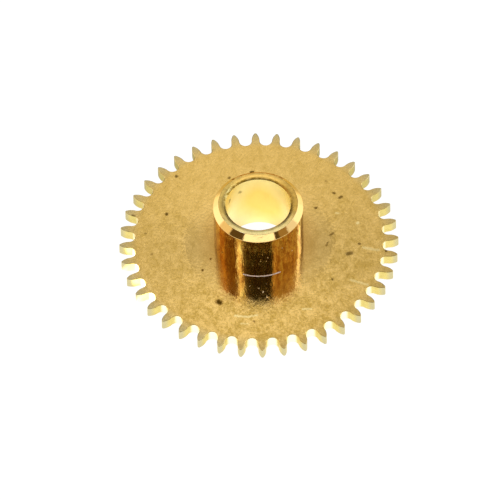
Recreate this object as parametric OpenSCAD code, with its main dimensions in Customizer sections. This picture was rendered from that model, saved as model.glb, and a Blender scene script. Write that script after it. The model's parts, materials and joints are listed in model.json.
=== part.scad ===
// Hour wheel of a watch: a flat toothed brass wheel riveted on an upright brass pipe.
// Millimetres. The origin is on the bore's axis at the underside of the wheel, +Z runs up the pipe,
// and a tooth points along +X.

/* [Teeth] */
// Number of teeth round the wheel
tooth_count = 40; // [30:1:48]
// Gear module, which is the pitch diameter divided by the number of teeth
gear_module = 0.145; // [0.130:0.001:0.160]
// Height of a tooth above the pitch circle
addendum = 0.2; // [0.160:0.005:0.240]
// Depth of a space below the pitch circle
dedendum = 0.15; // [0.100:0.005:0.200]
// Thickness of a tooth at the pitch circle
tooth_thickness = 0.174; // [0.140:0.002:0.220]
// Radius of the rounded tip of a tooth
tip_round = 0.033; // [0.015:0.001:0.045]
// Radius at the foot of a space, which a narrow or shallow space makes smaller
root_round = 0.15; // [0.040:0.005:0.150]
// Shortest straight flank left between the rounded foot and the pointed head of a tooth
flank_land = 0.005; // [0.002:0.001:0.020]

/* [Wheel plate] */
// Thickness of the wheel plate
plate_t = 0.26; // [0.20:0.01:0.40]

/* [Pipe] */
// Outside diameter of the pipe, which is the seat of the hour hand
pipe_d = 2; // [1.60:0.01:2.40]
// Wall of the pipe between the hand seat and the bore that turns on the cannon pinion
pipe_wall = 0.28; // [0.22:0.01:0.36]
// Height of the pipe above the top of the wheel plate
pipe_h = 1.31; // [0.60:0.01:2.20]
// Size of the 45 degree chamfer round the pipe's free end
end_chamfer = 0.12; // [0.04:0.01:0.18]
// Size of the edge break at the mouth of the bore
mouth_break = 0.03; // [0.005:0.005:0.040]
// Size of the edge break where the pipe stands on the wheel plate
foot_break = 0.015; // [0.005:0.005:0.040]

/* [Riveted joint] */
// Width of the shoulder that seats on the wheel plate
shoulder_w = 0.16; // [0.08:0.01:0.20]
// Radial play between the pipe's spigot and the hole in the wheel plate
spigot_play = 0.002; // [0.001:0.001:0.010]
// How far the riveted lip spreads beyond the hole
lip_spread = 0.1; // [0.04:0.01:0.20]
// Depth of the countersink that the riveted lip fills
lip_depth = 0.1; // [0.04:0.01:0.16]

/* [Hidden] */
$fn = 120;

// Straight steps in each arc of a tooth's outline
tip_steps = 3;
head_steps = 4;
foot_steps = 6;

// Gear circles
pitch_r = gear_module * tooth_count / 2;
tip_r = pitch_r + addendum;
root_r = pitch_r - dedendum;
half_pitch = 180 / tooth_count;
half_thick = tooth_thickness / 2;

// The head of a tooth is a pointed arch: each side leaves the pitch circle straight outwards on an arc
// of radius head_r, and runs smoothly into the small round at the tip
head_r = (pow(addendum, 2) - 2 * addendum * tip_round + pow(half_thick, 2)) / (2 * (half_thick - tip_round));
head_angle = atan2(head_r - half_thick, addendum - tip_round);

// The foot of a space is as round as root_round, or as the width and the depth of the space allow
foot_r_by_width = (root_r * sin(half_pitch) - half_thick) / (1 - sin(half_pitch));
straight_r = pitch_r - flank_land;
foot_r_by_depth = (pow(straight_r, 2) - pow(root_r, 2) + pow(half_thick, 2)) / (2 * (root_r - half_thick));
foot_r = min(root_round, foot_r_by_width, foot_r_by_depth);
foot_x = sqrt(pow(root_r + foot_r, 2) - pow(half_thick + foot_r, 2));
foot_angle = atan2(half_thick + foot_r, foot_x);
// A space wider than its two foot rounds has a piece of the root circle between them
foot_is_one_arc = half_pitch - foot_angle < 0.001;

// Pipe
pipe_r = pipe_d / 2;
bore_r = pipe_r - pipe_wall;
pipe_top = plate_t + pipe_h;
spigot_r = pipe_r - shoulder_w;
hole_r = spigot_r + spigot_play;
lip_r = hole_r + lip_spread;

// How far the hole is drawn past the faces of the wheel plate
overcut = plate_t / 2;

// Points along an arc, from its first angle to its last
function arc(centre, radius, from, to, steps) =
    [for (i = [0:steps]) let (a = from + (to - from) * i / steps) centre + radius * [cos(a), sin(a)]];

// All the points of a list but its last
function but_last(points) = [for (i = [0:len(points) - 2]) points[i]];

// A list of points in the opposite order
function backwards(points) = [for (i = [len(points) - 1:-1:0]) points[i]];

// The same points on the other side of the tooth's middle line
function mirrored(points) = [for (p = points) [p.x, -p.y]];

// The same points turned round the wheel's centre
function turned(points, a) = [for (p = points) [p.x * cos(a) - p.y * sin(a), p.x * sin(a) + p.y * cos(a)]];

// One side of a tooth that points along +X, from the middle of its tip to the bottom of the space
tip_arc = arc([tip_r - tip_round, 0], tip_round, 0, head_angle, tip_steps);
head_arc = arc([pitch_r, half_thick - head_r], head_r, head_angle, 90, head_steps);
foot_arc = arc([foot_x, half_thick + foot_r], foot_r, 270, 180 + foot_angle, foot_steps);
tooth_side = concat(but_last(tip_arc), head_arc, foot_arc);

// One whole tooth, with the bottom of the space after it left to its next neighbour where both meet
tooth_start = mirrored(backwards(foot_is_one_arc ? but_last(tooth_side) : tooth_side));
tooth_points = concat(but_last(tooth_start), tooth_side);

// The whole outline of the wheel
wheel_points = [for (k = [0:tooth_count - 1]) each turned(tooth_points, k * 2 * half_pitch)];

// The section of the pipe, from the bore at the underside outwards and up to the free end
pipe_section = [
    [bore_r, 0],
    [lip_r, 0],
    [hole_r, lip_depth],
    [spigot_r, lip_depth],
    [spigot_r, plate_t],
    [pipe_r - foot_break, plate_t],
    [pipe_r, plate_t + foot_break],
    [pipe_r, pipe_top - end_chamfer],
    [pipe_r - end_chamfer, pipe_top],
    [bore_r + mouth_break, pipe_top],
    [bore_r, pipe_top - mouth_break],
];

// The space in the middle of the wheel plate: a plain hole, opened to a countersink at the underside,
// and drawn past both faces so that it cuts them cleanly
hole_section = [
    [0, -overcut],
    [lip_r, -overcut],
    [lip_r, 0],
    [hole_r, lip_depth],
    [hole_r, plate_t + overcut],
    [0, plate_t + overcut],
];

// The flat wheel: its teeth, and the countersunk hole that the pipe is riveted in
module wheel_plate() {
    color("goldenrod")
    difference() {
        linear_extrude(height = plate_t)
            polygon(wheel_points);
        rotate_extrude()
            polygon(hole_section);
    }
}

// The pipe: hand seat, chamfered end, shoulder, spigot and riveted lip round one through bore
module hour_pipe() {
    color("gold")
    rotate_extrude()
        polygon(pipe_section);
}

wheel_plate();
hour_pipe();
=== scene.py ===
# %% [markdown]
# # The hour wheel of a watch
# An hour wheel is two brass pieces riveted into one: a thin toothed wheel, and an upright pipe that
# carries the hour hand. Both are only a few millimetres across, so what makes them look real is fine:
# the small rounds on every edge, the lapped grain of the flat wheel, the shine of the turned pipe and
# what stands round the object and shows in that shine.
# The sizes come from a CAD model of the wheel. It is loaded first, as a frame that stays as it is.

# %% Load the frame
import json
from math import atan2, cos, degrees, pi, radians, sin

import bmesh
import bpy
from mathutils import Matrix, Vector


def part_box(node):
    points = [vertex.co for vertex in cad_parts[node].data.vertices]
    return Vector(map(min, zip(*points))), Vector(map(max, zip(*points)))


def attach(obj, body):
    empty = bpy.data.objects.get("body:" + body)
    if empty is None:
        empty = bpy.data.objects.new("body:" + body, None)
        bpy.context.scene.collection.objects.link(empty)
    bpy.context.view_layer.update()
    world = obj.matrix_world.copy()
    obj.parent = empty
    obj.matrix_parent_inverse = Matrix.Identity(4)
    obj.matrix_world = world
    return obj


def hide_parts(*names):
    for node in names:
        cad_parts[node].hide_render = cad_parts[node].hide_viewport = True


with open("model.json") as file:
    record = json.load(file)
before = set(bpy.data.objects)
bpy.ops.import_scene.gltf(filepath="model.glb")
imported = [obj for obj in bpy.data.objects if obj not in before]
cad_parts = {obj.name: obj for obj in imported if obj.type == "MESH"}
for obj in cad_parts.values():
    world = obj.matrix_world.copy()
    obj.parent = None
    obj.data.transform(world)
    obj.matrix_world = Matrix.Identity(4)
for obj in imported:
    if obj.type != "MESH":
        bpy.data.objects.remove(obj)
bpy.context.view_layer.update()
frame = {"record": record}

# %% [markdown]
# Blender's modelling tools have fixed tolerances of about a millionth of a unit. A watch part in metres
# is so small that a round of a few thousandths of a millimetre would fall under them. So both pieces are
# modelled in millimetres, and each finished mesh is scaled to metres at its very end.
# The outside sizes are read from the frame, and the ones inside the teeth are written once here.

# %% Sizes in millimetres
# One millimetre, in the scene's metres
MM = 0.001
wheel_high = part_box("wheel_plate")[1] / MM
pipe_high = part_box("hour_pipe")[1] / MM
mounts = {mount["name"]: mount["dims"] for mount in frame["record"]["mounts"]}

plate_t = wheel_high.z
tip_r = wheel_high.x
pipe_top = pipe_high.z
pipe_r = mounts["hand_seat"]["r_mm"]
bore_r = mounts["bore"]["r_mm"]
print(f"wheel {tip_r * 2:.2f} across and {plate_t:.2f} thick")
print(f"pipe {pipe_r * 2:.2f} over a {bore_r * 2:.2f} bore")

# %% Sizes of a tooth
tooth_count = 40
addendum = 0.2
dedendum = 0.15
tooth_thickness = 0.174
tip_round = 0.033

pitch_r = tip_r - addendum
root_r = pitch_r - dedendum
half_pitch = pi / tooth_count
half_thick = tooth_thickness / 2
print(f"module {2 * pitch_r / tooth_count:.3f} mm, {tooth_count} teeth of {addendum + dedendum:.2f} mm")

# %% [markdown]
# ## The toothed wheel
# The real wheel is a punched brass disc. A cutter forms its teeth one after another, each with rounded,
# pointed sides, and the flats are then lapped. A tooth could be drawn as a long list of points. Here one
# side of one tooth is drawn the way the cutter is made: three arcs and a short straight flank, each spun
# or pushed out of the last point. That keeps the curve smooth and every radius a number that means
# something.

# %% A function that spins an arc out of a point
def spin_arc(bm, start, centre, angle, steps):
    """Draws an arc of edges from a vertex round a centre and returns its last vertex."""
    made = bmesh.ops.spin(
        bm, geom=[start], cent=(*centre, 0), axis=(0, 0, 1), angle=angle, steps=steps, use_merge=False
    )
    return next(item for item in made["geom_last"] if isinstance(item, bmesh.types.BMVert))


# %% A function that draws a straight line out of a point
def push_line(bm, start, place):
    """Draws one edge from a vertex to a place and returns the vertex there."""
    made = bmesh.ops.extrude_vert_indiv(bm, verts=[start])
    made["verts"][0].co = (*place, 0)
    return made["verts"][0]


# %% One side of a tooth
tip_steps = 5
head_steps = 8
foot_steps = 10

head_r = (addendum**2 - 2 * addendum * tip_round + half_thick**2) / (2 * (half_thick - tip_round))
head_angle = atan2(head_r - half_thick, addendum - tip_round)
foot_r = (root_r * sin(half_pitch) - half_thick) / (1 - sin(half_pitch))
foot_x = (root_r + foot_r) * cos(half_pitch)

tooth = bmesh.new()
tip = tooth.verts.new((tip_r, 0, 0))
point = spin_arc(tooth, tip, (tip_r - tip_round, 0), head_angle, tip_steps)
point = spin_arc(tooth, point, (pitch_r, half_thick - head_r), pi / 2 - head_angle, head_steps)
point = push_line(tooth, point, (foot_x, half_thick))
point = spin_arc(tooth, point, (foot_x, half_thick + foot_r), half_pitch - pi / 2, foot_steps)
space_angle = degrees(atan2(point.co.y, point.co.x))
print(f"tooth side ends at radius {point.co.length:.4f} mm and angle {space_angle:.3f}")

# %% [markdown]
# The side of the tooth is now closed to a narrow slice that reaches in to the hole where the pipe will
# sit. Mirrored, it is one whole tooth, and copied round the centre it is the whole wheel. Welding the
# slices afterwards makes them one sheet, which is then pulled up to the wheel's thickness.

# %% The slice behind one tooth
shoulder_w = 0.16
spigot_play = 0.002
spigot_r = pipe_r - shoulder_w
hole_r = spigot_r + spigot_play
hole_steps = 3
# Points closer than this, in millimetres, are one
weld = 1e-5

point = push_line(tooth, point, (hole_r * cos(half_pitch), hole_r * sin(half_pitch)))
point = spin_arc(tooth, point, (0, 0), -half_pitch, hole_steps)
tooth.edges.new((point, tip))
bmesh.ops.contextual_create(tooth, geom=tooth.edges[:])
bmesh.ops.mirror(tooth, geom=tooth.verts[:] + tooth.edges[:] + tooth.faces[:], axis="Y", merge_dist=weld)
print("one tooth:", len(tooth.verts), "points,", len(tooth.faces), "faces")

# %% All the teeth, welded
whole = tooth.verts[:] + tooth.edges[:] + tooth.faces[:]
last_copy = 2 * pi - 2 * half_pitch
bmesh.ops.spin(
    tooth, geom=whole, cent=(0, 0, 0), axis=(0, 0, 1), angle=last_copy, steps=tooth_count - 1,
    use_duplicate=True,
)
# So many turns drift a little, so the copies are welded over a longer distance
bmesh.ops.remove_doubles(tooth, verts=tooth.verts[:], dist=weld * 10)
raised = bmesh.ops.extrude_face_region(tooth, geom=tooth.faces[:])
raised_verts = [item for item in raised["geom"] if isinstance(item, bmesh.types.BMVert)]
bmesh.ops.translate(tooth, verts=raised_verts, vec=(0, 0, plate_t))
bmesh.ops.recalc_face_normals(tooth, faces=tooth.faces[:])
print("whole wheel:", len(tooth.verts), "points,", len(tooth.faces), "faces")

# %% [markdown]
# No edge of a real part is perfectly sharp. The rim keeps a tiny round from lapping, about a hundredth of
# a millimetre, and that is the bright line that light draws along the teeth. Underneath, the hole is
# opened to a 45 degree countersink, which the pipe's riveted lip fills. Both are bevels: one segment cuts
# the flat countersink, and three make a round.

# %% A function that finds edges
def edges_between(bm, inner, outer, low, high):
    """The edges whose two ends both lie between two radii and two heights."""
    found = []
    for edge in bm.edges:
        radii = [vert.co.xy.length for vert in edge.verts]
        heights = [vert.co.z for vert in edge.verts]
        if inner <= min(radii) and max(radii) <= outer and low <= min(heights) and max(heights) <= high:
            found.append(edge)
    return found


# %% A function that rounds edges
def round_edges(bm, edges, size, segments):
    """Bevels edges and marks the borders of the cut as sharp, so that the flats beside it shade flat."""
    cut = bmesh.ops.bevel(
        bm, geom=edges, offset=size, offset_type="OFFSET", segments=segments, profile=0.5, affect="EDGES",
        material=-1, clamp_overlap=False,
    )
    new_faces = set(cut["faces"])
    for face in cut["faces"]:
        for edge in face.edges:
            if not new_faces.issuperset(edge.link_faces):
                edge.smooth = False
    return len(edges)


# %% Countersink and rounded rim
# How far a point may lie from the radius or height that is looked for
near = 0.001
countersink = 0.1
rim_round = 0.012
rim_steps = 3
# The rim's own edges turn by a right angle, and the ones between two flats by nothing
rim_turn = 1

hole_edges = edges_between(tooth, hole_r - near, hole_r + near, -near, near)
print("hole edges cut:", round_edges(tooth, hole_edges, countersink, 1))
outline_edges = [
    edge
    for height in (0, plate_t)
    for edge in edges_between(tooth, root_r - near, tip_r + near, height - near, height + near)
    if edge.calc_face_angle(0) > rim_turn
]
print("rim edges rounded:", round_edges(tooth, outline_edges, rim_round, rim_steps))

# %% [markdown]
# A mesh in memory becomes an object of the scene with the same few steps each time, so they are one
# function. It turns the faces outwards, marks the real corners as sharp and shades the rest smooth, and
# scales the mesh to metres. A round would otherwise smear its shading over the flat beside it, which
# shows at once in a mirror: that is why the rounds' own borders were marked as sharp too.

# %% A function that turns a mesh into a finished piece
corner_angle = radians(35)


def finished_piece(bm, name):
    """Makes an object in metres from a bmesh in millimetres, shaded smooth between its real corners."""
    bmesh.ops.recalc_face_normals(bm, faces=bm.faces[:])
    for edge in bm.edges:
        if edge.calc_face_angle(0) > corner_angle:
            edge.smooth = False
    for face in bm.faces:
        face.smooth = True
    bmesh.ops.scale(bm, verts=bm.verts[:], vec=(MM, MM, MM))
    mesh = bpy.data.meshes.new(name)
    bm.to_mesh(mesh)
    bm.free()
    piece = bpy.data.objects.new(name, mesh)
    bpy.context.scene.collection.objects.link(piece)
    print(f"{name}: {len(mesh.polygons)} faces, {[round(side / MM, 3) for side in piece.dimensions]} mm")
    return piece


toothed_wheel = finished_piece(tooth, "toothed_wheel")

# %% [markdown]
# ## The pipe
# The real pipe is turned on a lathe, so it is one outline carried round an axis: the bore, the riveted
# lip below, the thin spigot in the hole, the shoulder that sits on the wheel, the hand seat and the
# chamfered end. A revolved outline is also the best way in Blender, because one full spin makes every
# face at once, with its last step welded to its first. The corners that show are rounded afterwards.
# Hands pressed on have worn the mouth of the bore to a shallow facet, which has two corners of its own.

# %% The outline of the pipe
end_chamfer = 0.12
mouth_break = 0.035
facet_outside = 0.105
facet_inside = 0.045
facet_depth = 0.010
lip_r = hole_r + countersink

outline = [
    (bore_r, 0),
    (lip_r, 0),
    (hole_r, countersink),
    (spigot_r, countersink),
    (spigot_r, plate_t),
    (pipe_r, plate_t),
    (pipe_r, pipe_top - end_chamfer),
    (pipe_r - end_chamfer, pipe_top),
    (bore_r + facet_outside, pipe_top),
    (bore_r + facet_inside, pipe_top - facet_depth),
    (bore_r, pipe_top - mouth_break),
]
pipe = bmesh.new()
corners = [pipe.verts.new((x, 0, z)) for x, z in outline]
for corner, following in zip(corners, corners[1:] + corners[:1]):
    pipe.edges.new((corner, following))

# %% The outline spun round
lathe_steps = 256
bmesh.ops.spin(
    pipe, geom=pipe.verts[:] + pipe.edges[:], cent=(0, 0, 0), axis=(0, 0, 1), angle=2 * pi,
    steps=lathe_steps, use_merge=True,
)
bmesh.ops.remove_doubles(pipe, verts=pipe.verts[:], dist=weld)
bmesh.ops.recalc_face_normals(pipe, faces=pipe.faces[:])
print("pipe:", len(pipe.faces), "faces")

# %% Rounded corners
lathe_round = 0.006
lip_round = 0.05
lathe_round_steps = 4
bore_foot, chamfer_foot, chamfer_top = outline[0], outline[6], outline[7]

for (radius, height), size in (
    (bore_foot, lip_round), (chamfer_foot, lathe_round), (chamfer_top, lathe_round),
):
    corner_edges = edges_between(pipe, radius - near, radius + near, height - near, height + near)
    rounded = round_edges(pipe, corner_edges, size, lathe_round_steps)
    print(f"radius {radius:.2f}, height {height:.2f}: {rounded} edges rounded")

# %% [markdown]
# A thin pale line, a painted highlight, runs along the corner where the pipe stands on the wheel, on the
# near side. It is a tiny three-cornered fillet, so it is spun the same way, but only through a part of a
# turn.

# %% The fillet of painted highlight
highlight_fillet_width = 0.020
highlight_fillet_start = radians(-112)
highlight_fillet_turn = radians(49)
highlight_fillet_steps = 36
# How deep it reaches into both pieces, so that no gap shows
sunk = 0.002
highlight_fillet_outline = [
    (pipe_r - sunk, plate_t - sunk),
    (pipe_r + highlight_fillet_width, plate_t - sunk),
    (pipe_r - sunk, plate_t + highlight_fillet_width),
]

highlight_fillet = bmesh.new()
highlight_fillet_corners = [highlight_fillet.verts.new((x * cos(highlight_fillet_start), x * sin(highlight_fillet_start), z)) for x, z in highlight_fillet_outline]
for corner, following in zip(highlight_fillet_corners, highlight_fillet_corners[1:] + highlight_fillet_corners[:1]):
    highlight_fillet.edges.new((corner, following))
bmesh.ops.spin(
    highlight_fillet, geom=highlight_fillet.verts[:] + highlight_fillet.edges[:], cent=(0, 0, 0), axis=(0, 0, 1), angle=highlight_fillet_turn,
    steps=highlight_fillet_steps, use_merge=False,
)
bmesh.ops.holes_fill(highlight_fillet, edges=highlight_fillet.edges[:])
print("oil thread:", len(highlight_fillet.faces), "faces")

highlight_fillet_mesh = bpy.data.meshes.new("highlight_fillet")
highlight_fillet.to_mesh(highlight_fillet_mesh)
highlight_fillet.free()
pipe.from_mesh(highlight_fillet_mesh)
bpy.data.meshes.remove(highlight_fillet_mesh)
turned_pipe = finished_piece(pipe, "turned_pipe")

# %% [markdown]
# ## Finishes
# Both pieces are one alloy, a yellow brass of about 60 parts copper to 40 of zinc, but each has a finish
# of its own. A metal's colour in Blender is the colour of its mirror image: the base colour of a fully
# metallic shader. Where a film, tarnish or dirt lies on the metal, that colour is darker or greyer.
# Colours are written as sRGB hex values, as a colour picker shows them, and one function turns them into
# the linear values that the nodes want. Another adds a node with its settings.

# %% From a hex colour to linear light
def linear(colour):
    """Turns an sRGB hex colour into linear red, green and blue, with an alpha of 1."""
    parts = [int(colour[start : start + 2], 16) / 255 for start in (1, 3, 5)]
    # The standard curve of sRGB: a straight foot, and a power above it
    return [part / 12.92 if part <= 0.04045 else ((part + 0.055) / 1.055) ** 2.4 for part in parts] + [1]


print("clean brass, linear:", [round(part, 3) for part in linear("#FFD37E")])

# %% A function that adds one node
def add_node(tree, kind, inputs, **settings):
    """Adds a node with its settings. An input is a plain value, or another node's output to link."""
    node = tree.nodes.new(kind)
    for name, value in settings.items():
        setattr(node, name, value)
    for name, value in inputs.items():
        if isinstance(value, bpy.types.NodeSocket):
            tree.links.new(value, node.inputs[name])
        else:
            node.inputs[name].default_value = value
    return node


# %% A function that starts a finish
def new_finish(name, metallic=1):
    """A material, and what its nodes hang on: the tree, the shader and the coordinates."""
    material = bpy.data.materials.new(name)
    material.use_nodes = True
    tree = material.node_tree
    shader = tree.nodes["Principled BSDF"]
    shader.inputs["Metallic"].default_value = metallic
    place = tree.nodes.new("ShaderNodeTexCoord").outputs["Object"]
    return material, tree, shader, place


# %% A function that scales a pattern
def per_mm(size):
    """The scale of a pattern whose features are this many millimetres wide."""
    return 1 / (size * MM)


print("pattern scale for 0.1 mm:", round(per_mm(0.1)))

# %% A function that makes a shine uneven
def add_wear(tree, shader, place, size, detail, rough):
    """Adds a noise of a size in millimetres that moves the roughness between two values."""
    noise = add_node(
        tree, "ShaderNodeTexNoise", {"Vector": place, "Scale": per_mm(size), "Detail": detail},
    ).outputs[0]
    roughness = add_node(
        tree, "ShaderNodeMapRange", {"Value": noise, "To Min": rough[0], "To Max": rough[1]},
    )
    tree.links.new(roughness.outputs[0], shader.inputs["Roughness"])
    return noise


# %% [markdown]
# Handling leaves small marks: dirt and pits, scratches, dust. They could be painted by hand, but a list
# of strokes is short and stays sharp from close by. Each stroke is half its width in millimetres, how
# strong it is, and its two ends. Nodes measure how far a point lies from it, after a fine noise has
# nudged the point a little, so that no mark has a perfect border. On the wheel the marks are laid in
# plan only, so that dirt at the edge of a tooth also runs down its side.

# %% Marks on both pieces
stains = [
    (0.095, 1.0, (-0.94, -1.69), (-0.91, -1.72)), (0.080, 0.8, (-2.78, 0.80), (-2.78, 0.77)),
    (0.075, 0.8, (1.96, -0.44), (2.04, -0.42)), (0.040, 0.7, (1.49, -0.19), (1.52, -0.10)),
    (0.045, 0.7, (1.58, 0.10), (1.65, 0.16)), (0.050, 0.8, (2.21, -0.16), (2.23, -0.16)),
    (0.050, 0.8, (-1.79, 1.91), (-1.79, 1.93)), (0.045, 0.7, (-0.62, 1.82), (-0.61, 1.84)),
    (0.055, 0.9, (-0.12, 1.97), (-0.09, 1.98)), (0.045, 0.8, (1.70, 1.31), (1.72, 1.30)),
    (0.050, 0.8, (1.83, 1.17), (1.87, 1.20)), (0.050, 0.9, (-2.03, 0.83), (-2.03, 0.85)),
    (0.040, 0.8, (-1.08, -0.46), (-1.08, -0.48)), (0.045, 0.9, (-1.27, -0.78), (-1.27, -0.80)),
    (0.040, 0.6, (-0.17, -2.27), (-0.16, -2.28)), (0.045, 0.8, (1.28, 0.90), (1.30, 0.90)),
    (0.045, 0.9, (2.81, -0.38), (2.81, -0.39)), (0.045, 0.8, (1.60, -1.14), (1.60, -1.15)),
    (0.050, 0.3, (2.42, -0.44), (2.47, -0.45)), (0.040, 0.4, (1.54, 1.65), (1.54, 1.66)),
    (0.040, 0.5, (-2.39, -0.30), (-2.37, -0.28)), (0.035, 0.5, (-2.51, 0.30), (-2.50, 0.31)),
]
# Real scratches, drawn pale: their brightness is a painted highlight
scratches_and_highlights = [
    (0.050, 0.7, (2.32, -0.27), (2.65, -0.36)), (0.045, 0.7, (2.01, -1.18), (2.37, -1.33)),
    (0.040, 0.9, (-0.58, -2.10), (-0.29, -2.14)), (0.040, 0.9, (-0.29, -2.14), (-0.10, -2.10)),
    (0.030, 0.6, (-0.46, -2.32), (-0.29, -2.34)), (0.035, 0.8, (0.92, -1.96), (1.10, -1.96)),
    (0.040, 0.7, (1.74, 0.74), (1.78, 0.73)), (0.050, 1.0, (2.21, 0.43), (2.21, 0.44)),
]
wheel_dust = [
    (0.030, 0.9, (0.06, -1.45), (0.06, -1.44)), (0.020, 0.7, (0.15, -1.23), (0.15, -1.24)),
    (0.018, 0.6, (-0.23, -1.28), (-0.23, -1.27)), (0.022, 0.6, (0.14, -1.60), (0.14, -1.59)),
    (0.020, 0.6, (-0.04, -1.34), (-0.04, -1.35)),
]
pipe_dust = [
    (0.022, 0.9, (0.72, -0.69, 0.73), (0.72, -0.69, 0.75)),
    (0.020, 0.8, (0.50, -0.87, 1.05), (0.50, -0.87, 1.07)),
    (0.024, 0.9, (0.18, -0.98, 0.88), (0.18, -0.98, 0.89)),
    (0.018, 0.8, (0.02, -1.00, 0.78), (0.02, -1.00, 0.79)),
    (0.018, 0.8, (0.15, -0.99, 0.76), (0.15, -0.99, 0.77)),
]
bore_dirt = [
    (0.055, 0.7, (-0.40, 0.60, 1.26), (-0.38, 0.61, 1.24)),
    (0.055, 0.8, (-0.62, 0.36, 1.27), (-0.63, 0.34, 1.23)),
]
bore_yellow_patch = [(0.75, 0.9, (0.05, 0.72, 0.84), (0.22, 0.68, 0.70))]
print("stains:", len(stains + bore_dirt), "scratches:", len(scratches_and_highlights))
print("specks of dust:", len(wheel_dust + pipe_dust))

# %% A function that draws marks
# A mark is whole up to this share of its half width, and fades out from there to its border
mark_core = 0.35
# How far the border is nudged, and over what length it wavers, in millimetres
nudge_by = 0.06
nudge_length = 0.05


def add_marks(tree, place, marks):
    """The cover of a list of marks, from 0 on clean metal to 1 in the middle of a mark."""
    noise = add_node(tree, "ShaderNodeTexNoise", {"Vector": place, "Scale": per_mm(nudge_length)})
    wobble = noise.outputs["Color"]
    centred = add_node(tree, "ShaderNodeVectorMath", {0: wobble, 1: [0.5] * 3}, operation="SUBTRACT")
    ragged = add_node(
        tree, "ShaderNodeVectorMath", {0: centred.outputs[0], 1: [nudge_by * MM] * 3, 2: place},
        operation="MULTIPLY_ADD",
    ).outputs[0]
    cover = None
    for size, strength, start, end in marks:
        first = Vector(start).to_3d() * MM
        line = Vector(end).to_3d() * MM - first
        offset = add_node(tree, "ShaderNodeVectorMath", {0: ragged, 1: first}, operation="SUBTRACT")
        along = add_node(
            tree, "ShaderNodeVectorMath", {0: offset.outputs[0], 1: line.normalized()},
            operation="DOT_PRODUCT",
        )
        held = add_node(tree, "ShaderNodeClamp", {"Value": along.outputs["Value"], "Max": line.length})
        nearest = add_node(
            tree, "ShaderNodeVectorMath", {0: held.outputs[0], 1: line.normalized(), 2: first},
            operation="MULTIPLY_ADD",
        )
        away = add_node(
            tree, "ShaderNodeVectorMath", {0: ragged, 1: nearest.outputs[0]}, operation="DISTANCE",
        ).outputs["Value"]
        mark = add_node(
            tree, "ShaderNodeMapRange",
            {"Value": away, "From Min": size * MM, "From Max": size * MM * mark_core, "To Max": strength},
        ).outputs[0]
        cover = mark if cover is None else add_node(
            tree, "ShaderNodeMath", {0: cover, 1: mark}, operation="MAXIMUM",
        ).outputs[0]
    return cover


# %% A function that measures outwards
def add_plan(tree, place):
    """A point's place in plan, without its height, and how far out from the middle it lies."""
    plan = add_node(tree, "ShaderNodeVectorMath", {0: place, 1: (1, 1, 0)}, operation="MULTIPLY").outputs[0]
    out = add_node(tree, "ShaderNodeVectorMath", {0: plan}, operation="LENGTH").outputs["Value"]
    return plan, out


# %% A function that lets a value change round a spot
def add_fade(tree, place, spot, reach, values, **settings):
    """A value that goes from one to another between two distances, in millimetres, from a spot."""
    centre = Vector(spot).to_3d() * MM
    away = add_node(tree, "ShaderNodeVectorMath", {0: place, 1: centre}, operation="DISTANCE")
    return add_node(
        tree, "ShaderNodeMapRange",
        {
            "Value": away.outputs["Value"], "From Min": reach[0] * MM, "From Max": reach[1] * MM,
            "To Min": values[0], "To Max": values[1],
        },
        **settings,
    ).outputs[0]


# %% [markdown]
# The flat of the wheel was lapped on a plate with fine grit. That leaves a matt mirror with a fine grain,
# like the skin of an orange. Its finish could be a painted picture, but patterns made by nodes on the
# piece's own coordinates keep each grain at its real size, from any distance.
# Each finish starts with a tree of nodes of its own: tree, shader and place mean the one in hand.

# %% Lapped brass: its patterns
lapped_brass, tree, shader, place = new_finish("lapped brass")
plan, out = add_plan(tree, place)
# Real lapping marks are under a hundredth of a millimetre wide, and would be lost between the picture's
# pixels. They are drawn a few times coarser, and longer in depth, which a slanted view shortens
drawn = add_node(
    tree, "ShaderNodeVectorMath", {0: place, 1: (1, 0.7, 1)}, operation="MULTIPLY",
).outputs[0]
grain_size, scuff_size = 0.055, 0.22
grain, scuffs = [
    add_node(
        tree, "ShaderNodeTexNoise",
        {"Vector": drawn, "Scale": per_mm(size), "Detail": detail, "Roughness": harshness},
    ).outputs[0]
    for size, detail, harshness in ((grain_size, 3, 0.65), (scuff_size, 5, 1))
]
print(f"lapped brass: grain of {grain_size} mm and scuffs of {scuff_size} mm")

# %% [markdown]
# Its colour is built in layers, as on the real wheel. Light and dark scuffs lie on the metal, strongest in
# front, where it was handled most. Close round the pipe the metal was burnished when the two pieces were
# riveted, so a ring of it is lighter, and old oil has left a brown film at the pipe's foot. The tips of
# the teeth are greyer, and browner towards the front right.

# %% Lapped brass: scuffed metal, ring, film and greyer tips
contrast = add_fade(tree, plan, (0.2, -2.3), (0.8, 4.4), (6.2, 2.0))
centred = add_node(tree, "ShaderNodeMath", {0: scuffs, 1: 0.5}, operation="SUBTRACT").outputs[0]
scuffed = add_node(
    tree, "ShaderNodeMath", {0: centred, 1: contrast, 2: 0.5}, operation="MULTIPLY_ADD", use_clamp=True,
)
metal = add_node(
    tree, "ShaderNodeMix", {0: scuffed.outputs[0], 6: linear("#CFA84F"), 7: linear("#FDD37D")},
    data_type="RGBA",
).outputs[2]

# Each begins at one radius, is full at another, and covers no more than its last number
burnished, near_foot, near_tip = [
    add_node(
        tree, "ShaderNodeMapRange",
        {"Value": out, "From Min": begins * MM, "From Max": full * MM, "To Max": most},
    ).outputs[0]
    for begins, full, most in ((1.9, 1.35, 0.45), (1.4, 1.0, 0.42), (2.7, 3.1, 0.85))
]
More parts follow.
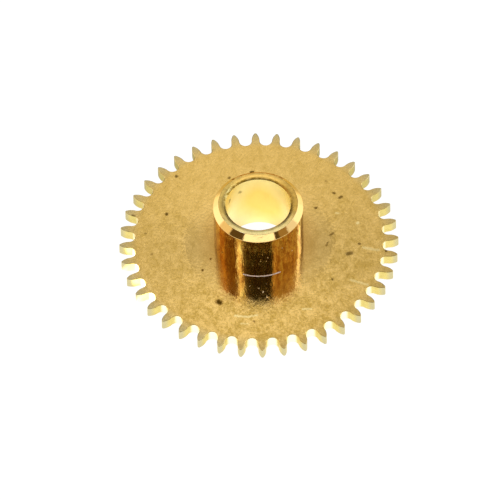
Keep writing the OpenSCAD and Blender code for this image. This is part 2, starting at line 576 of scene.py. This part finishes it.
# The tips are browner towards the front right
to_front_right = add_node(
    tree, "ShaderNodeVectorMath", {0: place, 1: (0.7, -0.7, 0)}, operation="DOT_PRODUCT",
).outputs["Value"]
front_right_tips = add_node(
    tree, "ShaderNodeMapRange", {"Value": to_front_right, "From Min": 1.2 * MM, "From Max": 2.2 * MM},
)
tip_tint = add_node(
    tree, "ShaderNodeMix", {0: front_right_tips.outputs[0], 6: linear("#C3B687"), 7: linear("#BFA465")},
    data_type="RGBA",
).outputs[2]
print("lapped brass:", len(tree.nodes), "nodes so far")

# %% [markdown]
# The marks of handling come last. They end just above the underside, which lay on something clean. Dirt
# and dust are matt, so they also count for the shine.

# %% Lapped brass: marks, and all the layers
dust_colour = "#FFF0D0"

height = add_node(tree, "ShaderNodeSeparateXYZ", {0: place}).outputs["Z"]
upper = add_node(
    tree, "ShaderNodeMapRange", {"Value": height, "From Min": 0.02 * MM, "From Max": 0.05 * MM},
)
stained, scratched_and_highlighted, dusty = [
    add_node(
        tree, "ShaderNodeMath", {0: add_marks(tree, plan, marks), 1: upper.outputs[0]},
        operation="MULTIPLY",
    ).outputs[0]
    for marks in (stains, scratches_and_highlights, wheel_dust)
]
# The scratches' pale colour is a painted highlight
layers = (
    (burnished, linear("#FFD37E")), (near_foot, linear("#DB9A38")), (near_tip, tip_tint),
    (stained, linear("#6C4E12")), (scratched_and_highlighted, linear("#FFE49A")), (dusty, linear(dust_colour)),
)
for cover, colour in layers:
    metal = add_node(
        tree, "ShaderNodeMix", {0: cover, 6: metal, 7: colour}, data_type="RGBA",
    ).outputs[2]
tree.links.new(metal, shader.inputs["Base Color"])
print("lapped brass:", len(layers), "layers on the metal")

# %% [markdown]
# The lapping strokes ran in circles, so the light is spread more outwards than along them: a radial
# tangent and some anisotropy do that. The burnished ring is smoother, with a border that the grain tears.
# The grain itself is a bump. The sheet isn't quite flat either, and a very shallow dome in a second bump
# bends what it mirrors.

# %% Lapped brass: shine and relief
# How rough the things are that lie on the metal
matt = 0.6
grain_depth = 0.0035
dome_height = 0.056

torn = add_node(tree, "ShaderNodeMath", {0: grain, 1: 0.5 * MM, 2: out}, operation="MULTIPLY_ADD")
# 0 on the burnished ring and 1 on the lapped flat
lapped = add_node(
    tree, "ShaderNodeMapRange",
    {"Value": torn.outputs[0], "From Min": 1.86 * MM, "From Max": 1.94 * MM},
).outputs[0]
rough, relief = [
    add_node(
        tree, "ShaderNodeMapRange", {"Value": lapped, "To Min": on_ring, "To Max": outside},
    ).outputs[0]
    for on_ring, outside in ((0.10, 0.15), (0.4, 1.0))
]
covered = add_node(tree, "ShaderNodeMath", {0: stained, 1: dusty}, operation="MAXIMUM").outputs[0]
roughness = add_node(tree, "ShaderNodeMix", {0: covered, 2: rough, 3: matt}, data_type="FLOAT")
tree.links.new(roughness.outputs[0], shader.inputs["Roughness"])

raised = add_fade(tree, plan, (-0.1, 0), (0.6, 3.3), (1, 0), interpolation_type="SMOOTHSTEP")
dome = add_node(tree, "ShaderNodeBump", {"Height": raised, "Distance": dome_height * MM})
bump = add_node(
    tree, "ShaderNodeBump",
    {"Height": grain, "Strength": relief, "Distance": grain_depth * MM, "Normal": dome.outputs[0]},
)
tree.links.new(bump.outputs[0], shader.inputs["Normal"])
circles = add_node(tree, "ShaderNodeTangent", {}, direction_type="RADIAL", axis="Z")
tree.links.new(circles.outputs[0], shader.inputs["Tangent"])
shader.inputs["Anisotropic"].default_value = 0.7
shader.inputs["Anisotropic Rotation"].default_value = 0.25
print("lapped brass:", len(tree.nodes), "nodes")

# %% [markdown]
# The sides of the teeth were cut, not lapped. Fresh-cut brass is paler and cleaner than a surface that
# has been handled, and has a soft, even shine. It is greyer at the tips. The bottom of a space is painted
# near white, a painted highlight of the light that washes out the sides there. The bottom could be given
# faces of its own, but it is told by its normal more simply: no other side faces straight out from the
# middle.

# %% Cut brass
cut_brass, tree, shader, place = new_finish("cut brass")
plan, out = add_plan(tree, place)
traces = add_wear(tree, shader, place, size=0.12, detail=3, rough=(0.2, 0.35))
metal = add_node(
    tree, "ShaderNodeMix", {0: traces, 6: linear("#C8B362"), 7: linear("#E7D588")}, data_type="RGBA",
).outputs[2]

at_tip = add_node(
    tree, "ShaderNodeMapRange", {"Value": out, "From Min": 2.96 * MM, "From Max": 3.06 * MM},
)
normal = tree.nodes.new("ShaderNodeTexCoord").outputs["Normal"]
outwards = add_node(tree, "ShaderNodeVectorMath", {0: plan}, operation="NORMALIZE").outputs[0]
facing_out = add_node(
    tree, "ShaderNodeVectorMath", {0: outwards, 1: normal}, operation="DOT_PRODUCT",
).outputs["Value"]
bottom = add_node(tree, "ShaderNodeMapRange", {"Value": facing_out, "From Min": 0.45, "From Max": 0.8})
# The bottom of a space is painted near white: a painted highlight
painted_highlight_in_space = add_node(
    tree, "ShaderNodeMapRange",
    {"Value": out, "From Min": 2.95 * MM, "From Max": 2.87 * MM, "To Max": bottom.outputs[0]},
)
for cover, tint in ((at_tip, "#C1B689"), (painted_highlight_in_space, "#FFF9D6")):
    metal = add_node(
        tree, "ShaderNodeMix", {0: cover.outputs[0], 6: metal, 7: linear(tint)}, data_type="RGBA",
    ).outputs[2]
tree.links.new(metal, shader.inputs["Base Color"])
shader.inputs["Specular Tint"].default_value = linear("#F6EED2")
print("cut brass:", len(tree.nodes), "nodes")

# %% [markdown]
# The pipe was turned and polished, so it is nearly a mirror. The polishing cloth leaves long soft streaks
# down it, and a thin brown film of old oil has run down over them. Both could be painted, but they are
# one kind of pattern: a noise that is stretched upwards. Specks of dust lie on top. They are matt and
# pale, so they show best where the pipe mirrors something dark.

# %% Turned brass: streaks, film and dust
turned_brass, tree, shader, place = new_finish("turned and polished brass")
# The less the height counts, the longer a pattern is drawn out upwards
long, less_long = [
    add_node(
        tree, "ShaderNodeVectorMath", {0: place, 1: (1, 1, counts)}, operation="MULTIPLY",
    ).outputs[0]
    for counts in (0.15, 0.35)
]
streaks, film, fine = [
    add_node(
        tree, "ShaderNodeTexNoise",
        {"Vector": spread, "Scale": per_mm(size), "Detail": detail, "Roughness": harshness},
    ).outputs[0]
    for spread, size, detail, harshness in (
        (long, 0.07, 3, 0.5), (less_long, 0.11, 5, 0.9), (place, 0.03, 1, 0.5),
    )
]
light, clean = [
    add_node(
        tree, "ShaderNodeMapRange", {"Value": pattern, "From Min": least, "From Max": most},
    ).outputs[0]
    for pattern, least, most in ((streaks, 0.3, 0.7), (film, 0.42, 0.57))
]
specks = add_node(
    tree, "ShaderNodeMapRange", {"Value": fine, "From Min": 0.72, "From Max": 0.80, "To Max": 0.6},
).outputs[0]
dusty = add_node(
    tree, "ShaderNodeMath", {0: add_marks(tree, place, pipe_dust), 1: specks}, operation="MAXIMUM",
).outputs[0]
print("turned brass:", len(tree.nodes), "nodes for its patterns")

# %% [markdown]
# The streaks are only thousandths of a millimetre deep, far too shallow to model, so they are a bump.
# Where dust lies it takes the polish away.

# %% Turned brass: colour, shine and relief
streak_depth = 0.0026

metal = add_node(
    tree, "ShaderNodeMix", {0: light, 6: linear("#ECB65E"), 7: linear("#FBEA9E")}, data_type="RGBA",
).outputs[2]
handled = add_node(
    tree, "ShaderNodeMix", {0: clean, 6: linear("#B9823A"), 7: metal}, data_type="RGBA",
).outputs[2]
colour = add_node(
    tree, "ShaderNodeMix", {0: dusty, 6: handled, 7: linear(dust_colour)}, data_type="RGBA",
)
tree.links.new(colour.outputs[2], shader.inputs["Base Color"])
polished = add_node(tree, "ShaderNodeMapRange", {"Value": light, "To Min": 0.03, "To Max": 0.09})
roughness = add_node(
    tree, "ShaderNodeMix", {0: dusty, 2: polished.outputs[0], 3: matt}, data_type="FLOAT",
)
tree.links.new(roughness.outputs[0], shader.inputs["Roughness"])
bump = add_node(
    tree, "ShaderNodeBump", {"Height": streaks, "Strength": 1.0, "Distance": streak_depth * MM},
)
tree.links.new(bump.outputs[0], shader.inputs["Normal"])
print("turned brass:", len(tree.nodes), "nodes")

# %% [markdown]
# The chamfer at the pipe's end was polished last. It could share the pipe's finish, but no oil has run
# over it, and only the faint waves of the cloth are left. So it shows the cards of the studio as clean
# fields, light and dark. A metal turns white to a grazing view, and the tint of its edge keeps the
# chamfer yellow there.

# %% Polished chamfer
wave_depth = 0.0014

polished_chamfer, tree, shader, place = new_finish("polished chamfer")
shader.inputs["Base Color"].default_value = linear("#F2CC85")
shader.inputs["Specular Tint"].default_value = linear("#F5D28A")
waves = add_wear(tree, shader, place, size=0.08, detail=3, rough=(0.03, 0.09))
bump = add_node(
    tree, "ShaderNodeBump", {"Height": waves, "Strength": 1.0, "Distance": wave_depth * MM},
)
tree.links.new(bump.outputs[0], shader.inputs["Normal"])
print("polished chamfer:", len(tree.nodes), "nodes")

# %% [markdown]
# The end face never touched the cloth. It was rubbed wherever a hand was pressed on or pulled off, so it
# is stained in patches. Light is painted across it: it is palest in front, darker to the right and warmer
# at the back, as the light falls on it. It is also darker in patches along the back edge of the bore's
# mouth. The slow changes across the face follow the coordinates, and the patches are a noise.

# %% Worn end: where its layers lie
worn_end, tree, shader, place = new_finish("worn end face")
wear = add_wear(tree, shader, place, size=0.12, detail=4, rough=(0.15, 0.35))
patchy = add_node(tree, "ShaderNodeMapRange", {"Value": wear, "From Min": 0.45, "From Max": 0.56})
sides = add_node(tree, "ShaderNodeSeparateXYZ", {0: place}).outputs
# Each begins at one place along its axis, is full at another, and covers no more than its last value
# Painted light and shade: palest in front, darker to the right, warmer at the back; the last is the mouth's
# darker edge, in patches
painted_shade_right, painted_light_front, painted_tone_back, behind = [
    add_node(
        tree, "ShaderNodeMapRange",
        {"Value": sides[axis], "From Min": begins * MM, "From Max": full * MM, "To Max": most},
    ).outputs[0]
    for axis, begins, full, most in (
        ("X", -0.8, 0.8, 1), ("Y", -0.2, -0.78, 1), ("Y", 0.55, 0.8, 1),
        ("Y", -0.25, 0.05, patchy.outputs[0]),
    )
]
plan, out = add_plan(tree, place)
# Darker in patches along the back edge of the bore's mouth
mouth = add_node(
    tree, "ShaderNodeMapRange",
    {"Value": out, "From Min": 0.782 * MM, "From Max": 0.760 * MM, "To Max": behind},
).outputs[0]
print("worn end:", len(tree.nodes), "nodes for its layers")

# %% [markdown]
# Its layers are laid on one after another, from the painted light to the dark edge of the mouth. The noise
# that moves the shine then makes the whole face uneven in colour too, since what is rough there is also
# stained.

# %% Worn end: its colour
metal = linear("#E0BE66")
for cover, tint in (
    (painted_shade_right, "#D2A850"), (painted_light_front, "#FFE89E"), (painted_tone_back, "#E6BC64"), (mouth, "#A07C2C"),
):
    metal = add_node(
        tree, "ShaderNodeMix", {0: cover, 6: metal, 7: linear(tint)}, data_type="RGBA",
    ).outputs[2]
light = add_node(
    tree, "ShaderNodeMapRange",
    {"Value": wear, "From Min": 0.3, "From Max": 0.7, "To Min": 0.8, "To Max": 1.15},
)
uneven = add_node(
    tree, "ShaderNodeMix", {0: 1.0, 6: metal, 7: light.outputs[0]}, data_type="RGBA",
    blend_type="MULTIPLY",
)
tree.links.new(uneven.outputs[2], shader.inputs["Base Color"])
shader.inputs["Specular Tint"].default_value = linear("#EBC27A")
print("worn end:", len(tree.nodes), "nodes")

# %% [markdown]
# The bore is as the drill left it, clean and a little rough. Light is thrown about inside it from wall to
# wall, so it glows, and each bounce makes it yellower. A render follows only a few of those bounces, so
# the wall's own colour is set paler than the metal. It is a little redder low down, yellower in a broad
# patch on the back wall, and has two spots of dirt near its mouth.

# %% Drilled bore
drilled_bore, tree, shader, place = new_finish("drilled bore")
add_wear(tree, shader, place, size=0.2, detail=2, rough=(0.35, 0.5))
height = add_node(tree, "ShaderNodeSeparateXYZ", {0: place}).outputs["Z"]
low_down = add_node(
    tree, "ShaderNodeMapRange", {"Value": height, "From Min": 0.8 * MM, "From Max": 0.3 * MM},
)
wall = add_node(
    tree, "ShaderNodeMix", {0: low_down.outputs[0], 6: linear("#FAEFAA"), 7: linear("#FADB9A")},
    data_type="RGBA",
).outputs[2]
# A broad yellower patch on the back wall, and two spots of dirt near the mouth
for marks, tint in ((bore_yellow_patch, "#FFDC6C"), (bore_dirt, "#8A7A34")):
    wall = add_node(
        tree, "ShaderNodeMix", {0: add_marks(tree, place, marks), 6: wall, 7: linear(tint)},
        data_type="RGBA",
    ).outputs[2]
tree.links.new(wall, shader.inputs["Base Color"])
print("drilled bore:", len(tree.nodes), "nodes")

# %% [markdown]
# The fillet at the foot of the pipe is a painted highlight: a pale, matt film that is not metal at all, so
# it stays light even where the brass mirrors something dark.

# %% Painted highlight at the pipe's foot
# A painted highlight: a pale, matt film
highlight_fillet_finish, tree, shader, place = new_finish("pale fillet, painted highlight", metallic=0)
film = add_node(tree, "ShaderNodeTexNoise", {"Vector": place, "Scale": per_mm(0.05)}).outputs[0]
colour = add_node(
    tree, "ShaderNodeMix", {0: film, 6: linear("#DDBBA4"), 7: linear("#FFF2E8")}, data_type="RGBA",
)
tree.links.new(colour.outputs[2], shader.inputs["Base Color"])
shader.inputs["Roughness"].default_value = matt
print("pale fillet, painted highlight:", len(tree.nodes), "nodes")

# %% [markdown]
# Each finish goes on its own faces. They could be picked one by one, but what a face is can be told from
# where it lies and how it is turned: a tooth's side stands upright, the end face looks up, the bore is
# the innermost ring of faces.

# %% Finishes on the wheel
LAPPED, CUT = range(2)
# A face is upright when its normal rises less than this
upright = 0.3

for finish in (lapped_brass, cut_brass):
    toothed_wheel.data.materials.append(finish)
for face in toothed_wheel.data.polygons:
    outside = face.center.xy.length > (root_r - near) * MM
    face.material_index = CUT if outside and abs(face.normal.z) < upright else LAPPED
cut_faces = sum(face.material_index == CUT for face in toothed_wheel.data.polygons)
print("wheel faces:", len(toothed_wheel.data.polygons), "of them cut:", cut_faces)

# %% Finishes on the pipe
TURNED, WORN, DRILLED, HIGHLIGHT_FILLET, CHAMFERED = range(5)
bore_wall = 0.02

for finish in (turned_brass, worn_end, drilled_bore, highlight_fillet_finish, polished_chamfer):
    turned_pipe.data.materials.append(finish)
for face in turned_pipe.data.polygons:
    radius = face.center.xy.length / MM
    height = face.center.z / MM
    if radius < bore_r + bore_wall and height < pipe_top - mouth_break:
        face.material_index = DRILLED
    elif height > pipe_top - mouth_break and radius < pipe_r - end_chamfer:
        face.material_index = WORN
    # The fillet at the pipe's foot, a painted highlight
    elif radius > pipe_r - sunk - near and height < plate_t + highlight_fillet_width:
        face.material_index = HIGHLIGHT_FILLET
    elif radius > pipe_r - end_chamfer and height > pipe_top - end_chamfer:
        face.material_index = CHAMFERED
    else:
        face.material_index = TURNED
counts = [0] * len(turned_pipe.data.materials)
for face in turned_pipe.data.polygons:
    counts[face.material_index] += 1
print("pipe faces turned, worn, drilled, highlight fillet, chamfered:", counts)

# %% [markdown]
# In the real wheel the two pieces are riveted into one, so both ride on the frame's one body. Each stands
# in for one piece of the CAD model and fills its material slot.

# %% Fix each piece to the frame
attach(toothed_wheel, "root")
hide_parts("wheel_plate")
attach(turned_pipe, "root")
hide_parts("hour_pipe")
for piece in (toothed_wheel, turned_pipe):
    finishes = [slot.material.name for slot in piece.material_slots]
    print(f"{piece.name} has {len(finishes)} finishes: {', '.join(finishes)}")

# %% [markdown]
# ## The studio
# A polished metal part has almost no colour of its own: what is seen is the room. A product photographer
# builds that room from cards and soft lamps. Here it is the world's own light, painted by direction:
# how far round from the camera, and how high above the floor. A world has no seams and no noise, and
# each card is one entry of a list.
# The cards stand in tiers, one above another, and the slope of a face decides which tier it mirrors.
# The flat of the wheel and the end face mirror what stands behind them at the camera's own height: the
# rail, with the high tier on both sides of it. The upright pipe sends the view down to the flat, which
# sends it up again, so it shows the high tier on the camera's own side. The camera stands before a dark
# card, which gives the pipe its black middle, and bright panels beside that card draw the light edges.
# The chamfer mirrors the low tiers, and the rounds on the edges run through all of them.

# %% Cards and lamps round the wheel
# The camera stands in front, this many degrees round to the left
camera_azimuth = -0.43
white, daylight, warm, sand = (1, 1, 1), (0.75, 0.95, 1.6), (1, 0.66, 0.24), (1, 0.86, 0.6)
# Each card is its start in degrees round from the camera to the right, its brightness and its colour.
# It ends where the next one starts
side_cards = [
    (-118, 0.66, warm), (-98, 0.32, warm), (-84, 0.25, warm), (-59, 2.0, daylight), (-44, 0.17, white),
    (-34, 0.065, white), (-24, 0.034, white), (35.5, 0.95, white), (41, 0.53, sand),
    (117, 2.5, daylight),
]
high_cards = (
    [(-180, 1.14, white), (-160, 0.76, white), (-137, 0.90, sand)] + side_cards
    + [(133, 0.50, white), (160, 0.98, white)]
)
rail_cards = (
    [(-180, 0.565, white), (-160, 0.41, white), (-137, 0.50, sand)] + side_cards
    + [(133, 0.27, white), (160, 0.53, white)]
)
low_cards = [
    (-180, 0.8, white), (-130, 1.55, white), (-69, 0.12, warm), (-36, 1.55, white), (38, 0.10, warm),
    (49, 0.38, warm), (71, 1.55, white), (130, 0.8, white),
]
ground_cards = [
    (-180, 0.50, white), (-165, 0.12, white), (-133, 1.55, white), (-95, 1.0, sand), (-69, 0.12, warm),
    (49, 0.38, warm), (71, 1.0, white), (95, 1.55, white), (133, 0.12, white), (165, 0.50, white),
]
skirting_cards = [
    (-180, 0.50, white), (-165, 0.12, white), (-133, 1.55, white), (-95, 1.0, sand), (-71, 0.85, white),
    (71, 1.0, white), (95, 1.55, white), (133, 0.12, white), (165, 0.50, white),
]
top_cards = [
    (-180, 1.5, white), (-90, 0.3, white), (-60, 0.02, white), (60, 0.3, white), (90, 1.5, white),
]
zenith_cards = [(-180, 0.9, white), (0, 0.9, white)]
# Each tier starts at this many degrees above the floor, and fades in over so many below and above that
tiers = [
    (skirting_cards, 0, 1), (ground_cards, 23, 1.5), (low_cards, 34, 1), (high_cards, 40, 0.5),
    (rail_cards, 49, 1.5), (high_cards, 54, 1.5), (top_cards, 63, 4), (zenith_cards, 78, 6),
]
print(len(tiers), "tiers with", sum(len(cards) for cards, lowest, fade in tiers), "cards")

# %% A function that lays cards side by side on a ramp
# Degrees over which one card fades into the next
card_edge = 2.5
# The ramps hold shares of this brightness
brightest = 4.0


def lay_cards(ramp, cards):
    """Sets the stops of a colour ramp so that it steps softly from one card to the next."""
    stops = [(-180, *cards[0][1:])]
    for card, following in zip(cards, cards[1:]):
        border = following[0]
        stops += [(border - card_edge / 2, *card[1:]), (border + card_edge / 2, *following[1:])]
    stops.append((180, *cards[-1][1:]))
    while len(ramp.elements) < len(stops):
        ramp.elements.new(1)
    for element, (angle, light, tint) in zip(ramp.elements, stops):
        element.position = angle / 360 + 0.5
        element.color = [light / brightest * part for part in tint] + [1]


# %% The world
world = bpy.data.worlds.new("studio of cards")
bpy.context.scene.world = world
world.use_nodes = True
sky = world.node_tree
background = sky.nodes["Background"]

direction = sky.nodes.new("ShaderNodeTexCoord").outputs["Generated"]
facing = add_node(
    sky, "ShaderNodeVectorRotate", {"Vector": direction, "Angle": radians(90 - camera_azimuth)},
    rotation_type="Z_AXIS",
)
axes = add_node(sky, "ShaderNodeSeparateXYZ", {0: facing.outputs[0]}).outputs
round_camera = add_node(sky, "ShaderNodeMath", {0: axes["Y"], 1: axes["X"]}, operation="ARCTAN2")
share = add_node(
    sky, "ShaderNodeMapRange", {"Value": round_camera.outputs[0], "From Min": -pi, "From Max": pi},
)
elevation = add_node(sky, "ShaderNodeMath", {0: axes["Z"]}, operation="ARCSINE").outputs[0]
room = None
for cards, lowest, fade in tiers:
    tier = add_node(sky, "ShaderNodeValToRGB", {0: share.outputs[0]})
    lay_cards(tier.color_ramp, cards)
    if room is None:
        room = tier.outputs[0]
    else:
        above = add_node(
            sky, "ShaderNodeMapRange",
            {"Value": elevation, "From Min": radians(lowest - fade), "From Max": radians(lowest + fade)},
        )
        room = add_node(
            sky, "ShaderNodeMix", {0: above.outputs[0], 6: room, 7: tier.outputs[0]}, data_type="RGBA",
        ).outputs[2]
sky.links.new(room, background.inputs["Color"])
background.inputs["Strength"].default_value = brightest

# The camera itself looks past the table at plain white
backdrop = add_node(sky, "ShaderNodeBackground", {"Color": (1, 1, 1, 1), "Strength": 1.0})
seen = sky.nodes.new("ShaderNodeLightPath").outputs["Is Camera Ray"]
shown = add_node(sky, "ShaderNodeMixShader", {0: seen, 1: background.outputs[0], 2: backdrop.outputs[0]})
sky.links.new(shown.outputs[0], sky.nodes["World Output"].inputs["Surface"])
print("world:", len(sky.nodes), "nodes")

# %% [markdown]
# The wheel lies on a plain white table. A white that is only lit would need more light than the brass
# can take, so most of its white is its own: seen by the camera or mirrored in the brass, four fifths of
# it glow. The last fifth is ordinary paint, which keeps the soft shadow at the foot of the rim.
# The wheel has a tiny gap under it, so that the two faces never lie in one plane. From below the table
# is clear, so that the underside of the wheel can be looked at.

# %% The table's top
table_gap = 0.001
# In metres: its edge is far outside the picture
table_r = 1.0

floor_mesh = bpy.data.meshes.new("table")
disc = bmesh.new()
bmesh.ops.create_circle(disc, cap_ends=True, segments=64, radius=table_r)
bmesh.ops.translate(disc, verts=disc.verts[:], vec=(0, 0, -table_gap * MM))
disc.to_mesh(floor_mesh)
disc.free()
floor = bpy.data.objects.new("table", floor_mesh)
bpy.context.scene.collection.objects.link(floor)
print("table, m:", [round(side, 3) for side in floor.dimensions])

# %% [markdown]
# What the brass mirrors of the table isn't one even white. It is dimmer behind the wheel, and three small
# lit spots lie close to it: one under the bore, which lights its wall, and two under the teeth at the
# left, which whiten their sides.

# %% The table's paint and glow
glowing_share = 0.8
level_for_camera = 1.2
shade = (0, 5.2)
# Each is its place, how far its core and its border reach, and the light that it adds
lit_spots = [
    ((0, 0.75), (0.1, 0.5), 0.9), ((-2.72, -0.45), (0.3, 0.42), 3.4), ((-2.5, -1.3), (0.3, 0.42), 3.4),
]

paint = bpy.data.materials.new("white table")
paint.use_nodes = True
floor_tree = paint.node_tree
painted = add_node(floor_tree, "ShaderNodeBsdfDiffuse", {"Color": (0.8, 0.8, 0.8, 1)})
path = floor_tree.nodes.new("ShaderNodeLightPath").outputs
table_place = floor_tree.nodes.new("ShaderNodeTexCoord").outputs["Object"]
mirrored = add_fade(floor_tree, table_place, shade, (3.2, 5.8), (0.8, 1.6))
for spot, reach, added in lit_spots:
    lit = add_fade(floor_tree, table_place, spot, reach, (added, 0))
    mirrored = add_node(floor_tree, "ShaderNodeMath", {0: mirrored, 1: lit}, operation="ADD").outputs[0]
level = add_node(
    floor_tree, "ShaderNodeMix", {0: path["Is Camera Ray"], 2: mirrored, 3: level_for_camera},
    data_type="FLOAT",
)
glow = add_node(floor_tree, "ShaderNodeEmission", {"Color": (1, 1, 1, 1), "Strength": level.outputs[0]})
looked_at = path["Is Camera Ray"]
for ray in ("Is Glossy Ray", "Is Transmission Ray"):
    looked_at = add_node(
        floor_tree, "ShaderNodeMath", {0: looked_at, 1: path[ray]}, operation="MAXIMUM",
    ).outputs[0]
glowing = add_node(floor_tree, "ShaderNodeMath", {0: looked_at, 1: glowing_share}, operation="MULTIPLY")
table_look = add_node(
    floor_tree, "ShaderNodeMixShader", {0: glowing.outputs[0], 1: painted.outputs[0], 2: glow.outputs[0]},
)
from_below = floor_tree.nodes.new("ShaderNodeNewGeometry").outputs["Backfacing"]
clear = floor_tree.nodes.new("ShaderNodeBsdfTransparent")
one_sided = add_node(
    floor_tree, "ShaderNodeMixShader", {0: from_below, 1: table_look.outputs[0], 2: clear.outputs[0]},
)
floor_tree.links.new(one_sided.outputs[0], floor_tree.nodes["Material Output"].inputs["Surface"])
floor.data.materials.append(paint)
print("table's material:", len(floor_tree.nodes), "nodes")

# %% [markdown]
# ## The camera
# The picture was taken from well above with a long lens, so far parts look hardly smaller than near
# ones. The camera looks at the middle of the wheel's top face, from 51 degrees up, leans a little, and
# stands a little aside, so that the wheel lies left of and above the middle as in the picture.

# %% Camera
# Degrees
camera_elevation = 51.25
camera_lean = 1.28
# Millimetres
camera_distance = 254.0
aside = (-0.197, -0.200)
lens_mm = 824

camera = bpy.data.objects.new("camera", bpy.data.cameras.new("camera"))
bpy.context.scene.collection.objects.link(camera)
bpy.context.scene.camera = camera
camera.data.lens = lens_mm
# In metres
camera.data.clip_start = 0.01
camera.data.clip_end = 10

turn = (
    Matrix.Rotation(radians(camera_azimuth), 4, "Z")
    @ Matrix.Rotation(radians(90 - camera_elevation), 4, "X")
    @ Matrix.Rotation(radians(-camera_lean), 4, "Z")
)
target = Vector((0, 0, plate_t)) * MM
step_aside = Vector((*aside, camera_distance)) * MM
camera.matrix_world = Matrix.Translation(target) @ turn @ Matrix.Translation(step_aside)
bpy.context.scene.view_settings.view_transform = "Standard"
print("camera stands at, mm:", [round(v / MM, 2) for v in camera.matrix_world.translation])
